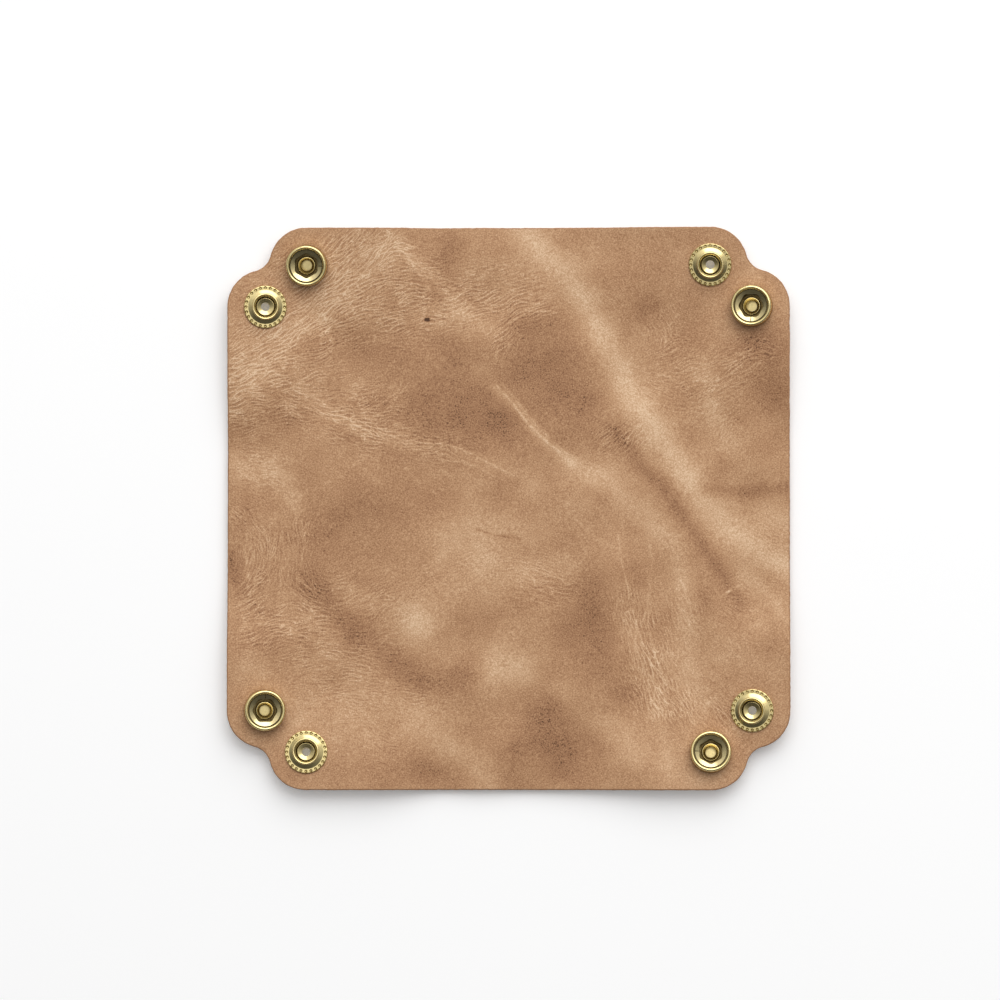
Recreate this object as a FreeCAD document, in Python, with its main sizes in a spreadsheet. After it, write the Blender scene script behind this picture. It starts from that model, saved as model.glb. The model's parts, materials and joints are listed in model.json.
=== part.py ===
import FreeCAD, Part
import math
import os
import Sketcher

# Leather valet tray with snap corners, lying open and flat.
# Millimetres. The origin is the middle of the floor's underside, +Z up.
# The four walls leave the floor at straight fold lines, each wall ends in two ears,
# and each ear ends in a narrow corner fold beside the tray's diagonal.
# A wall's left ear carries a socket and its right ear a stud, seen from the middle of the tray.

doc = FreeCAD.newDocument("valet_tray")

# Driving dimensions: name, value, meaning
sizes = [
    ("blank_size", 178.0, "side of the flat square of leather"),
    ("leather_thickness", 2.4, "thickness of the leather"),
    ("wall_height", 35.0, "height of a wall, from its fold line to its edge"),
    ("ear_slant", 8.0, "degrees that an ear's fold line leans from square to the wall's"),
    ("notch_inset", 11.9, "bottom of a corner notch, from both straight edges"),
    ("notch_radius", 6.9, "hollow curve at the bottom of a corner notch"),
    ("lobe_radius", 11.7, "rounded end of a straight edge"),
    ("fold_gap", 0.3, "gap between the floor and the parts of a corner"),
    ("corner_gap", 1.0, "gap between the two folds of a corner, along the diagonal"),
    ("snap_edge_inset", 12.0, "middle of a snap, from its own straight edge"),
    ("snap_side_inset", 25.25, "middle of a snap, from the straight edge round the corner"),
    ("ground_clearance", 0.05, "lowest point of a cap above the floor's underside"),
    ("hole_clearance", 0.1, "room around a barrel in its leather hole"),
    ("fit_clearance", 0.05, "room between metal pieces that are pressed together"),
    ("cap_diameter", 15.2, "outside of a cap"),
    ("cap_sheet", 0.4, "sheet metal of a cap"),
    ("cap_crown", 1.0, "height of a cap's dome above its skirt"),
    ("cap_lip", 1.0, "width of the cap's edge that is turned in over the post's disc"),
    ("disc_thickness", 0.3, "rim of the post's disc inside the cap"),
    ("post_diameter", 4.4, "outside of the post's barrel"),
    ("post_bore", 3.4, "bore of the post's barrel"),
    ("post_roll_diameter", 5.8, "outside of the post's rolled end"),
    ("post_roll_height", 0.7, "height of the post's rolled end"),
    ("socket_height", 4.0, "height of a socket above the leather"),
    ("socket_plate", 0.4, "bottom plate of a socket"),
    ("socket_wall", 0.45, "wall of a socket"),
    ("socket_flare", 0.2, "foot of a socket, beyond its rim"),
    ("foot_height", 0.5, "straight part of a socket's foot"),
    ("flare_height", 1.7, "height at which the flare meets the wall"),
    ("rim_bead", 1.1, "width of the rounded rim of a socket"),
    ("mouth_clearance", 1.05, "room between the stud's head and the socket's rim"),
    ("cup_clearance", 0.35, "room between the stud's head and the cup's collar"),
    ("cup_drop", 0.45, "fall of the cup's slope towards its opening"),
    ("cup_sheet", 0.35, "thickness of the cup at its opening"),
    ("cup_opening", 8.6, "round opening of the cup"),
    ("tip_clearance", 0.25, "room between the closed stud's end and the cup"),
    ("spring_thickness", 0.3, "strip of the ring spring"),
    ("spring_catch", 0.15, "edge of the ring spring that is caught under the socket's rim"),
    ("spring_drop", 0.27, "room between that edge and the rim above it"),
    ("spring_flange", 0.35, "flat outer edge of the ring spring"),
    ("spring_riser", 0.15, "run of the slope from that edge up to the ring spring's ridge"),
    ("spring_rise", 0.4, "height of the ridge above that edge"),
    ("spring_dish", 0.7, "fall of the ring spring from its ridge to its opening"),
    ("spring_clearance", 0.05, "room between the ring spring's flats and the stud's neck"),
    ("spring_corner", 0.34, "depth of the rounded corners of the ring spring's opening beyond its flats"),
    ("spring_split", 3.0, "degrees left open in the ring spring"),
    ("snap_clearance", 0.3, "room between the closed socket's rim and the stud's flange"),
    ("stud_flange_diameter", 13.5, "outside of a stud"),
    ("stud_flange_thickness", 0.7, "flange of a stud"),
    ("stud_flange_round", 0.25, "rounded edge of the flange"),
    ("stud_floor", 1.3, "metal around the eyelet at the bottom of a stud"),
    ("head_diameter", 8.5, "widest part of a stud's head"),
    ("head_wall", 0.75, "ring of a stud's head"),
    ("neck_undercut", 0.72, "depth of the neck below the head"),
    ("neck_wall", 0.3, "metal between a stud's neck and its hollow"),
    ("shoulder_diameter", 10.8, "foot of the slope that rises from a stud's flange to its neck"),
    ("shoulder_height", 1.0, "height of that slope above the flange"),
    ("grip_slope", 0.25, "height of the slope from the neck to the head"),
    ("bowl_taper", 0.3, "run of the sloping wall of a stud's hollow, below the neck"),
    ("dent_inset", 0.64, "middle of a dent from the flange's edge"),
    ("dent_radius", 0.5, "ball that presses a dent"),
    ("dent_depth", 0.4, "depth of a dent"),
    ("eyelet_flange_diameter", 10.0, "flange of an eyelet under the leather"),
    ("eyelet_flange_thickness", 0.6, "thickness of an eyelet's flange"),
    ("eyelet_flange_round", 0.4, "rounded edge of an eyelet's flange"),
    ("eyelet_diameter", 4.0, "outside of an eyelet's barrel"),
    ("eyelet_bore", 2.8, "bore of an eyelet's barrel"),
    ("eyelet_roll_diameter", 5.6, "outside of an eyelet's rolled end"),
    ("eyelet_roll_height", 0.4, "height of an eyelet's rolled end"),
]

# Sizes worked out from the driving dimensions: name, formula, meaning
formulas = [
    ("edge", "Sizes.blank_size / 2", "a straight edge of the blank from the middle"),
    ("fold_line", "edge - Sizes.wall_height", "a wall's fold line from the middle, half the floor's side"),
    ("slant", "Sizes.ear_slant * 1 deg", "lean of an ear's fold line"),
    ("snap_stack", "Sizes.socket_height + Sizes.stud_flange_thickness + Sizes.snap_clearance",
     "space between the leather's faces in a closed snap"),
    ("ear_turn", "asin(1 / (sqrt(2) * cos(slant)))", "turn of an ear in the closed tray"),
    ("wall_turn", "atan(1 / (tan(ear_turn) * sin(slant)))", "rise of a wall in the closed tray"),
    ("ear_start", "fold_line + Sizes.leather_thickness * sin(wall_turn)"
     " - sqrt(2) * (Sizes.leather_thickness + snap_stack / 2)", "foot of an ear's fold line along the wall"),
    ("lean", "tan(slant)", "run of an ear's fold line along the wall, per millimetre out"),
    ("ear_end", "ear_start + Sizes.wall_height * lean", "outer end of an ear's fold line"),
    ("corner_foot", "fold_line + Sizes.fold_gap", "inner ends of the ears and corner folds"),
    ("fold_inset", "snap_stack / 2", "a corner fold's line from the diagonal"),
    ("corner_inset", "Sizes.corner_gap / 2", "a corner fold's free edge from the diagonal"),
    ("notch_middle", "edge - Sizes.notch_inset + Sizes.notch_radius / sqrt(2)", "middle of the notch's curve"),
    ("curve_span", "Sizes.lobe_radius + Sizes.notch_radius", "between the middles of two touching curves"),
    ("lobe_side", "edge - Sizes.lobe_radius", "middle of the lobe's curve, out from the tray's middle"),
    ("lobe_along", "notch_middle - sqrt(curve_span ^ 2 - (lobe_side - notch_middle) ^ 2)",
     "middle of the lobe's curve, along the edge"),
    ("notch_share", "Sizes.notch_radius / curve_span", "share of the span that the notch's curve takes"),
    ("snap_along", "edge - Sizes.snap_side_inset", "middle of a snap along its wall"),
    ("snap_out", "edge - Sizes.snap_edge_inset", "middle of a snap out from the tray's middle"),
    ("cap_radius", "Sizes.cap_diameter / 2", "outside of a cap"),
    ("cap_skirt", "2 * Sizes.cap_sheet + Sizes.disc_thickness + 2 * Sizes.fit_clearance", "straight side of a cap"),
    ("cap_height", "cap_skirt + Sizes.cap_crown", "whole height of a cap"),
    ("dome_radius", "(cap_radius ^ 2 + Sizes.cap_crown ^ 2) / (2 * Sizes.cap_crown)", "curve of a cap's dome"),
    ("reach", "snap_out - fold_line", "a snap from the wall's fold line"),
    ("dome_drop", "dome_radius - Sizes.leather_thickness - cap_height", "middle of the dome's curve above the wall"),
    ("rest_lift", "asin((dome_radius + Sizes.ground_clearance - Sizes.leather_thickness)"
     " / sqrt(reach ^ 2 + dome_drop ^ 2)) - atan(dome_drop / reach)", "rise of the open walls, resting on the caps"),
    ("head_radius", "Sizes.head_diameter / 2", "widest part of a stud's head"),
    ("neck_radius", "head_radius - Sizes.neck_undercut", "neck of a stud"),
    ("mouth_radius", "head_radius + Sizes.mouth_clearance", "inside of a socket's rim"),
    ("rim_radius", "mouth_radius + Sizes.rim_bead", "outside of a socket's rim"),
    ("rim_level", "Sizes.socket_height - Sizes.rim_bead / 2", "widest level of a socket's rim"),
    ("shell_inside", "rim_radius - Sizes.socket_wall", "inside of a socket's wall"),
    ("rim_slant", "Sizes.rim_bead / 2 / (Sizes.rim_bead - Sizes.socket_wall)", "fall of the rim's underside, outwards"),
    ("spring_radius", "mouth_radius + Sizes.spring_catch", "outer edge of the ring spring"),
    ("spring_edge", "rim_level - rim_slant * Sizes.spring_catch - Sizes.spring_drop",
     "upper side of the ring spring's outer edge"),
    ("spring_level", "spring_edge + Sizes.spring_rise - Sizes.spring_dish - Sizes.spring_thickness",
     "lowest level of the ring spring"),
    ("opening_flat", "neck_radius + Sizes.spring_clearance", "flats of the ring spring's opening, from its middle"),
    ("opening_corner", "opening_flat + Sizes.spring_corner", "rounded corners of that opening, from its middle"),
    ("opening_turn", "acos(opening_flat / opening_corner)", "half the turn along one of its flats"),
    ("neck_top", "snap_stack - spring_level + Sizes.fit_clearance", "upper end of a stud's neck"),
    ("head_top", "neck_top + Sizes.grip_slope", "widest level of a stud's head"),
    ("stud_top", "head_top + Sizes.head_wall / 2", "height of a stud above the leather"),
    ("collar_radius", "head_radius + Sizes.cup_clearance", "inside of the cup's collar"),
    ("cup_radius", "shell_inside - Sizes.fit_clearance", "outside of the cup"),
    ("collar_top", "spring_edge - Sizes.spring_thickness - Sizes.fit_clearance - Sizes.socket_plate",
     "height of the cup to its collar"),
    ("slope_top", "snap_stack - stud_top - Sizes.tip_clearance - Sizes.socket_plate",
     "top of the cup's slope above the bottom plate"),
    ("slope_foot", "slope_top - Sizes.cup_drop", "lower end of the cup's slope"),
]


def make_sheet(name, rows):
    sheet = doc.addObject("Spreadsheet::Sheet", name)
    for row, (alias, content, meaning) in enumerate(rows, start=1):
        sheet.set(f"A{row}", alias)
        sheet.set(f"B{row}", content)
        sheet.set(f"C{row}", meaning)
        sheet.setAlias(f"B{row}", alias)
    return sheet


sheet = make_sheet("Sizes", [(alias, str(value), meaning) for alias, value, meaning in sizes])
doc.recompute()
worked = make_sheet("Worked", [(alias, "=" + formula, meaning) for alias, formula, meaning in formulas])
doc.recompute()


def value(expression):
    return float(sheet.evalExpression(expression))


def make_body(label):
    body = doc.addObject("PartDesign::Body", label)
    body.Label = label
    return body


# An arc from start to end with the given radius, bending to the left or to the right
def arc_between(start, end, radius, bend):
    chord = end - start
    height = math.sqrt(radius ** 2 - (chord.Length / 2) ** 2)
    left = FreeCAD.Vector(-chord.y, chord.x, 0).normalize()
    side = 1 if bend == "left" else -1
    middle = (start + end) / 2 + left * height * side
    circle = Part.Circle(middle, FreeCAD.Vector(0, 0, 1), radius)
    first, last = (start, end) if bend == "left" else (end, start)
    angles = [math.atan2(point.y - middle.y, point.x - middle.x) for point in (first, last)]
    return Part.ArcOfCircle(circle, *angles)


def bind(sketch, constraint, expression):
    index = sketch.addConstraint(constraint)
    sketch.setExpression(f"Constraints[{index}]", expression)


# Holds one point of a sketch at two expressions, with zero lying on the sketch's own axis
def hold_point(sketch, edge, spot, x, y):
    for kind, expression, axis in (("DistanceX", x, -2), ("DistanceY", y, -1)):
        if expression == "0":
            sketch.addConstraint(Sketcher.Constraint("PointOnObject", edge, spot, axis))
        else:
            constraint = Sketcher.Constraint(kind, -1, 1, edge, spot, value(expression))
            bind(sketch, constraint, expression)


def new_sketch(body, name, plane):
    sketch = body.newObject("Sketcher::SketchObject", name)
    support = [feature for feature in body.Origin.OriginFeatures if feature.Role == plane]
    sketch.AttachmentSupport = [(support[0], "")]
    sketch.MapMode = "FlatFace"
    return sketch


# A closed outline through corners (x, y); a corner (x, y, radius, bend) starts an arc
def outline(body, name, plane, corners):
    sketch = new_sketch(body, name, plane)
    points = [FreeCAD.Vector(value(corner[0]), value(corner[1]), 0) for corner in corners]
    ends = []
    for corner, start, end in zip(corners, points, points[1:] + points[:1]):
        if len(corner) == 2:
            sketch.addGeometry(Part.LineSegment(start, end))
            ends.append((1, 2))
        else:
            radius, bend = corner[2:]
            edge = sketch.addGeometry(arc_between(start, end, value(radius), bend))
            ends.append((1, 2) if bend == "left" else (2, 1))
            bind(sketch, Sketcher.Constraint("Radius", edge, value(radius)), radius)
    for edge, corner in enumerate(corners):
        following = (edge + 1) % len(corners)
        sketch.addConstraint(Sketcher.Constraint("Coincident", edge, ends[edge][1], following, ends[following][0]))
        hold_point(sketch, edge, ends[edge][0], corner[0], corner[1])
    return sketch


def add_circle(sketch, x, y, diameter):
    middle = FreeCAD.Vector(value(x), value(y), 0)
    circle = Part.Circle(middle, FreeCAD.Vector(0, 0, 1), value(diameter) / 2)
    edge = sketch.addGeometry(circle)
    hold_point(sketch, edge, 3, x, y)
    bind(sketch, Sketcher.Constraint("Diameter", edge, value(diameter)), diameter)


def pad(body, sketch, length):
    feature = body.newObject("PartDesign::Pad", "Pad")
    feature.Profile = sketch
    feature.setExpression("Length", length)


def revolve(body, sketch, angle="360"):
    feature = body.newObject("PartDesign::Revolution", "Revolution")
    feature.Profile = sketch
    feature.ReferenceAxis = (sketch, ["V_Axis"])
    feature.setExpression("Angle", angle)


# Places, as expressions: a side's turn about the tray, the rise of an open wall,
# the flip that makes a left panel of a right one, and a shift
def turned(side):
    return f"placement(vector(0; 0; 0); rotation(vector(0; 0; 1); {-90 * side}))"


lifted = ("placement(vector(0; 0; 0); rotation(vector(1; 0; 0); Worked.rest_lift);"
          " vector(0; Worked.fold_line; Sizes.leather_thickness))")
flipped = ("placement(vector(0; 0; 0); rotation(vector(0; 1; 0); 180);"
           " vector(0; 0; Sizes.leather_thickness / 2))")


def shifted(x, y, z):
    return f"placement(vector({x}; {y}; {z}); rotation(vector(0; 0; 1); 0))"


def place(body, *steps):
    body.setExpression("Placement", " * ".join(steps))


# A point of the notch's curve at a distance from the diagonal, on the wall's side of it
def notch_point(inset):
    inward = f"sqrt(Sizes.notch_radius ^ 2 - {inset} ^ 2)"
    return (f"Worked.notch_middle - ({inward} + {inset}) / sqrt(2)",
            f"Worked.notch_middle - ({inward} - {inset}) / sqrt(2)")


def make_floor():
    body = make_body("leather_floor")
    half = "Worked.fold_line"
    corners = [(f"-{half}", f"-{half}"), (half, f"-{half}"), (half, half), (f"-{half}", half)]
    pad(body, outline(body, "Outline", "XY_Plane", corners), "Sizes.leather_thickness")
    return body


def make_wall(label):
    body = make_body(label)
    foot, end = "Worked.ear_start", "Worked.ear_end"
    corners = [(f"-{foot}", "Worked.fold_line"), (foot, "Worked.fold_line"),
               (end, "Worked.edge"), (f"-{end}", "Worked.edge")]
    pad(body, outline(body, "Outline", "XY_Plane", corners), "Sizes.leather_thickness")
    return body


def make_ear(label, barrel):
    body = make_body(label)
    fold_end = notch_point("Worked.fold_inset")
    join = ("Worked.notch_middle + (Worked.lobe_along - Worked.notch_middle) * Worked.notch_share",
            "Worked.notch_middle + (Worked.lobe_side - Worked.notch_middle) * Worked.notch_share")
    corners = [
        ("Worked.ear_start + Sizes.fold_gap * Worked.lean", "Worked.corner_foot"),
        ("Worked.corner_foot - sqrt(2) * Worked.fold_inset", "Worked.corner_foot"),
        (*fold_end, "Sizes.notch_radius", "right"),
        (*join, "Sizes.lobe_radius", "left"),
        ("Worked.lobe_along", "Worked.edge"),
        ("Worked.ear_end", "Worked.edge"),
    ]
    sketch = outline(body, "Outline", "XY_Plane", corners)
    add_circle(sketch, "Worked.snap_along", "Worked.snap_out", f"{barrel} + 2 * Sizes.hole_clearance")
    pad(body, sketch, "Sizes.leather_thickness")
    return body


def make_corner_fold(label):
    body = make_body(label)
    corners = [
        ("Worked.corner_foot - sqrt(2) * Worked.fold_inset", "Worked.corner_foot"),
        ("Worked.corner_foot - sqrt(2) * Worked.corner_inset", "Worked.corner_foot"),
        (*notch_point("Worked.corner_inset"), "Sizes.notch_radius", "right"),
        notch_point("Worked.fold_inset"),
    ]
    pad(body, outline(body, "Outline", "XY_Plane", corners), "Sizes.leather_thickness")
    return body


# Sheet-metal dome whose edge is turned in over the post's disc; zero is the crown
def make_cap_shell(label):
    body = make_body(label)
    radius, thickness = "Worked.cap_radius", "Sizes.cap_sheet"
    inside = f"({radius} - {thickness})"
    inner_dome = f"(Worked.dome_radius - {thickness})"
    corners = [
        ("0", "0", "Worked.dome_radius", "left"),
        (radius, "Sizes.cap_crown"),
        (radius, f"Worked.cap_height - {thickness}", thickness, "left"),
        (inside, "Worked.cap_height"),
        (f"{radius} - Sizes.cap_lip", "Worked.cap_height"),
        (f"{radius} - Sizes.cap_lip", f"Worked.cap_height - {thickness}"),
        (inside, f"Worked.cap_height - {thickness}"),
        (inside, f"Worked.dome_radius - sqrt({inner_dome} ^ 2 - {inside} ^ 2)", inner_dome, "right"),
        ("0", thickness),
    ]
    revolve(body, outline(body, "Profile", "XZ_Plane", corners))
    return body


# A rolled end: the metal leaves the barrel at seat, turns out to the roll and dips into the bore
def rolled_end(barrel, bore, roll, height, seat):
    round_over = f"{height} / 2"
    return [
        (f"{barrel} / 2", seat),
        (f"{roll} / 2", seat),
        (f"{roll} / 2", f"{seat} + {round_over}", round_over, "left"),
        (f"{roll} / 2 - {round_over}", f"{seat} + {height}"),
        (f"{bore} / 2", f"{seat} - {round_over}"),
    ]


# Disc inside the cap, with the barrel that is rolled over in the socket; zero is the disc's underside
def make_cap_post(label):
    body = make_body(label)
    disc = "Worked.cap_radius - Sizes.cap_sheet - Sizes.fit_clearance"
    boss = "Worked.cap_radius - Sizes.cap_lip - Sizes.fit_clearance"
    rim = "Sizes.disc_thickness"
    boss_top = f"({rim} + Sizes.fit_clearance + Sizes.cap_sheet)"
    seat = f"{boss_top} + Sizes.leather_thickness + Sizes.socket_plate"
    corners = [
        ("0", "0"),
        (disc, "0"),
        (disc, rim),
        (boss, rim),
        (boss, boss_top),
        ("Sizes.post_diameter / 2", boss_top),
        *rolled_end("Sizes.post_diameter", "Sizes.post_bore", "Sizes.post_roll_diameter",
                    "Sizes.post_roll_height", seat),
        ("Sizes.post_bore / 2", boss_top),
        ("0", boss_top),
    ]
    revolve(body, outline(body, "Profile", "XZ_Plane", corners))
    return body


# Drawn shell of the socket: bottom plate, flared wall and rounded rim; zero is the leather's face
def make_socket_shell(label):
    body = make_body(label)
    hole = "Sizes.post_diameter / 2 + Sizes.fit_clearance"
    foot = "Worked.rim_radius + Sizes.socket_flare"
    bead = "Sizes.rim_bead / 2"
    corners = [
        (hole, "0"),
        (foot, "0"),
        (foot, "Sizes.foot_height"),
        ("Worked.rim_radius", "Sizes.flare_height"),
        ("Worked.rim_radius", "Worked.rim_level", bead, "left"),
        (f"Worked.rim_radius - {bead}", "Sizes.socket_height", bead, "left"),
        ("Worked.mouth_radius", "Worked.rim_level"),
        ("Worked.shell_inside", f"Worked.rim_level - {bead}"),
        ("Worked.shell_inside", "Sizes.socket_plate"),
        (hole, "Sizes.socket_plate"),
    ]
    revolve(body, outline(body, "Profile", "XZ_Plane", corners))
    return body


# Cup inside the shell: a collar under the ring spring and a narrow slope to a round opening;
# zero is the top of the bottom plate
def make_socket_cup(label):
    body = make_body(label)
    bore = "Sizes.cup_opening / 2"
    corners = [
        ("Worked.collar_radius", "0"),
        ("Worked.cup_radius", "0"),
        ("Worked.cup_radius", "Worked.collar_top"),
        ("Worked.collar_radius", "Worked.collar_top"),
        ("Worked.collar_radius", "Worked.slope_top"),
        (bore, "Worked.slope_foot"),
        (bore, "Worked.slope_foot - Sizes.cup_sheet"),
    ]
    revolve(body, outline(body, "Profile", "XZ_Plane", corners))
    return body


# Open, dished ring of strip with a flat outer edge; its opening has six flats and rounded corners.
# Zero is its lowest level
def make_spring_ring(label):
    body = make_body(label)
    bore, strip, crest = "Worked.neck_radius", "Sizes.spring_thickness", "Sizes.spring_dish"
    edge = f"({crest} - Sizes.spring_rise)"
    foot = "(Worked.spring_radius - Sizes.spring_flange)"
    ridge = f"({foot} - Sizes.spring_riser)"
    corners = [
        (bore, "0"),
        (f"{ridge} - {strip} / 2", crest),
        (f"{foot} - {strip} / 2", edge),
        ("Worked.spring_radius", edge),
        ("Worked.spring_radius", f"{edge} + {strip}"),
        (foot, f"{edge} + {strip}"),
        (ridge, f"{crest} + {strip}"),
        (bore, strip),
    ]
    revolve(body, outline(body, "Profile", "XZ_Plane", corners), "360 - Sizes.spring_split")
    doc.recompute()
    round_volume = body.Shape.Volume
    corner = "Worked.opening_corner"
    flats = []
    for turn in range(0, 360, 60):
        start, end = f"({turn} deg - Worked.opening_turn)", f"({turn} deg + Worked.opening_turn)"
        flats.append((f"{corner} * cos{start}", f"{corner} * sin{start}"))
        flats.append((f"{corner} * cos{end}", f"{corner} * sin{end}", corner, "left"))
    pocket = body.newObject("PartDesign::Pocket", "Opening")
    pocket.Profile = outline(body, "Flats", "XY_Plane", flats)
    pocket.Reversed = True
    pocket.setExpression("Length", f"{crest} + {strip}")
    doc.recompute()
    if body.Shape.Volume >= round_volume:
        raise RuntimeError(f"{label}: the opening cuts nothing")
    return body


# Drawn stud: dented flange, sloping shoulder, neck, round head and a hollow down to the eyelet;
# zero is the leather's face
def make_stud(label):
    body = make_body(label)
    hole = "Sizes.eyelet_diameter / 2 + Sizes.fit_clearance"
    flange = "Sizes.stud_flange_diameter / 2"
    top, rounding = "Sizes.stud_flange_thickness", "Sizes.stud_flange_round"
    crest = "Sizes.head_wall / 2"
    bowl = "Worked.neck_radius - Sizes.neck_wall"
    corners = [
        (hole, "0"),
        (flange, "0"),
        (flange, f"{top} - {rounding}", rounding, "left"),
        (f"{flange} - {rounding}", top),
        ("Sizes.shoulder_diameter / 2", top),
        ("Worked.neck_radius", f"{top} + Sizes.shoulder_height"),
        ("Worked.neck_radius", "Worked.neck_top"),
        ("Worked.head_radius", "Worked.head_top", crest, "left"),
        (f"Worked.head_radius - {crest}", "Worked.stud_top", crest, "left"),
        ("Worked.head_radius - Sizes.head_wall", "Worked.head_top"),
        (bowl, "Worked.neck_top"),
        (f"{bowl} - Sizes.bowl_taper", "Sizes.stud_floor"),
        (hole, "Sizes.stud_floor"),
    ]
    revolve(body, outline(body, "Profile", "XZ_Plane", corners))
    press_dents(body, flange, top)
    return body


dent_count = 24


# A ring of ball-shaped dents in the stud's flange
def press_dents(body, flange, top):
    dent = body.newObject("PartDesign::SubtractiveSphere", "Dent")
    dent.setExpression("Radius", "Sizes.dent_radius")
    dent.setExpression("Placement", shifted(f"{flange} - Sizes.dent_inset", "0",
                                            f"{top} + Sizes.dent_radius - Sizes.dent_depth"))
    doc.recompute()
    one_dent = body.Shape.Volume
    pattern = body.newObject("PartDesign::PolarPattern", "Dents")
    pattern.Originals = [dent]
    pattern.Axis = ([axis for axis in body.Origin.OriginFeatures if axis.Role == "Z_Axis"][0], [""])
    pattern.Angle = 360
    pattern.Occurrences = dent_count
    body.Tip = pattern
    doc.recompute()
    if body.Shape.Volume >= one_dent:
        raise RuntimeError(f"{body.Label}: the dents cut nothing")


# Flanged barrel that holds the stud from below; zero is the flange's underside
def make_eyelet(label):
    body = make_body(label)
    flange = "Sizes.eyelet_flange_diameter / 2"
    thickness, rounding = "Sizes.eyelet_flange_thickness", "Sizes.eyelet_flange_round"
    seat = f"{thickness} + Sizes.leather_thickness + Sizes.stud_floor"
    corners = [
        ("Sizes.eyelet_bore / 2", "0"),
        (f"{flange} - {rounding}", "0", rounding, "left"),
        (flange, rounding),
        (flange, thickness),
        ("Sizes.eyelet_diameter / 2", thickness),
        *rolled_end("Sizes.eyelet_diameter", "Sizes.eyelet_bore", "Sizes.eyelet_roll_diameter",
                    "Sizes.eyelet_roll_height", seat),
    ]
    revolve(body, outline(body, "Profile", "XZ_Plane", corners))
    return body


sides = ["north", "east", "south", "west"]
corner_names = ["north_east", "south_east", "south_west", "north_west"]
parts = [make_floor()]

for side, name in enumerate(sides):
    right, left = sides[(side + 1) % 4], sides[side - 1]
    wall = make_wall(f"wall_{name}")
    place(wall, turned(side), lifted)
    parts.append(wall)
    for end, barrel, hand in ((right, "Sizes.eyelet_diameter", []), (left, "Sizes.post_diameter", [flipped])):
        ear = make_ear(f"ear_{name}_{end}", barrel)
        corner_fold = make_corner_fold(f"corner_fold_{name}_{end}")
        for panel in (ear, corner_fold):
            place(panel, turned(side), lifted, *hand)
            parts.append(panel)

# The pieces of a snap, with the level of each piece's own zero above the underside of its ear
face = "Sizes.leather_thickness"
stud_pieces = [
    ("stud", make_stud, face),
    ("eyelet", make_eyelet, "-Sizes.eyelet_flange_thickness"),
]
socket_pieces = [
    ("cap_shell", make_cap_shell, "-Worked.cap_height"),
    ("cap_post", make_cap_post, "-Sizes.disc_thickness - Sizes.fit_clearance - Sizes.cap_sheet"),
    ("socket_shell", make_socket_shell, face),
    ("socket_cup", make_socket_cup, f"{face} + Sizes.socket_plate"),
    ("spring_ring", make_spring_ring, f"{face} + Worked.spring_level"),
]
for side, corner in enumerate(corner_names):
    next_side = (side + 1) % 4
    for pieces, wall_side, along in ((stud_pieces, side, "Worked.snap_along"),
                                     (socket_pieces, next_side, "-Worked.snap_along")):
        for kind, make_piece, level in pieces:
            piece = make_piece(f"{kind}_{corner}")
            place(piece, turned(wall_side), lifted, shifted(along, "Worked.snap_out", level))
            parts.append(piece)

doc.recompute()
for item in doc.Objects:
    if "Invalid" in item.State or "Error" in item.State:
        raise RuntimeError(f"{item.Label} failed: {item.State}")
for part in parts:
    if part.Shape.isNull() or not part.Shape.isValid() or len(part.Shape.Solids) != 1:
        raise RuntimeError(f"{part.Label} is not one valid solid")

os.makedirs("parts", exist_ok=True)
for part in parts:
    part.Shape.exportStep(f"parts/{part.Label}.step")
print(f"{len(parts)} pieces, open walls rise {value('Worked.rest_lift'):.3f} degrees")
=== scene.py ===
import json
import math
import bpy
import numpy as np
from mathutils import Matrix, Vector
from mathutils.geometry import delaunay_2d_cdt


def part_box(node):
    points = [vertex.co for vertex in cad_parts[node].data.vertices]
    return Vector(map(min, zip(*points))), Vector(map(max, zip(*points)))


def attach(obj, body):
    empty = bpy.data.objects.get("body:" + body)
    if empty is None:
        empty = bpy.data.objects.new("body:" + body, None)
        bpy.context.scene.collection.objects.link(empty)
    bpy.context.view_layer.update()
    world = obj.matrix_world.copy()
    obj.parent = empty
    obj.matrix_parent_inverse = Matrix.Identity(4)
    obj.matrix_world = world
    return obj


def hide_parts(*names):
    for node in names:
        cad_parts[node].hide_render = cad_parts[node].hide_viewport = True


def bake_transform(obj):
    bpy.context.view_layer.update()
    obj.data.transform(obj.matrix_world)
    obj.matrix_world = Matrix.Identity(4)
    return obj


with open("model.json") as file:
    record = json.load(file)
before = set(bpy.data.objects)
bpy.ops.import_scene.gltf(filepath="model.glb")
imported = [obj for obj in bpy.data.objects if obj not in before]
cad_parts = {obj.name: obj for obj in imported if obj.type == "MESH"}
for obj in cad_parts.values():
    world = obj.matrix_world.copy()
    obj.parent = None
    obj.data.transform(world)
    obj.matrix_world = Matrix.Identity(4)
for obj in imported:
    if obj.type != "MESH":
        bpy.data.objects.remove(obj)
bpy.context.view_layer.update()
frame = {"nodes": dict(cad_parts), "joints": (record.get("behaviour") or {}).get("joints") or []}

scene = bpy.context.scene
scene.view_settings.view_transform = "Standard"

photo = {
    "metresPerPixel": 0.178 / 563.5,
    "trayMiddle": (508.4, 508.5),   # pixel of the tray's middle
    "frameMiddle": (500.0, 500.0),
    "frameSide": 1000,
}


def fromPixel(pixelX, pixelY):
    middleX, middleY = photo["trayMiddle"]
    scale = photo["metresPerPixel"]
    return (pixelX - middleX) * scale, (middleY - pixelY) * scale


camera = {
    "distance": 1.7,
    "sensorWidth": 36.0,
    "leanRight": 1.6,       # degrees that the camera stands to the right of straight above
    "leanDown": 1.8,        # and towards the photograph's lower edge
    "aimHeight": 0.003,
    "farthest": 20,
}


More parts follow.
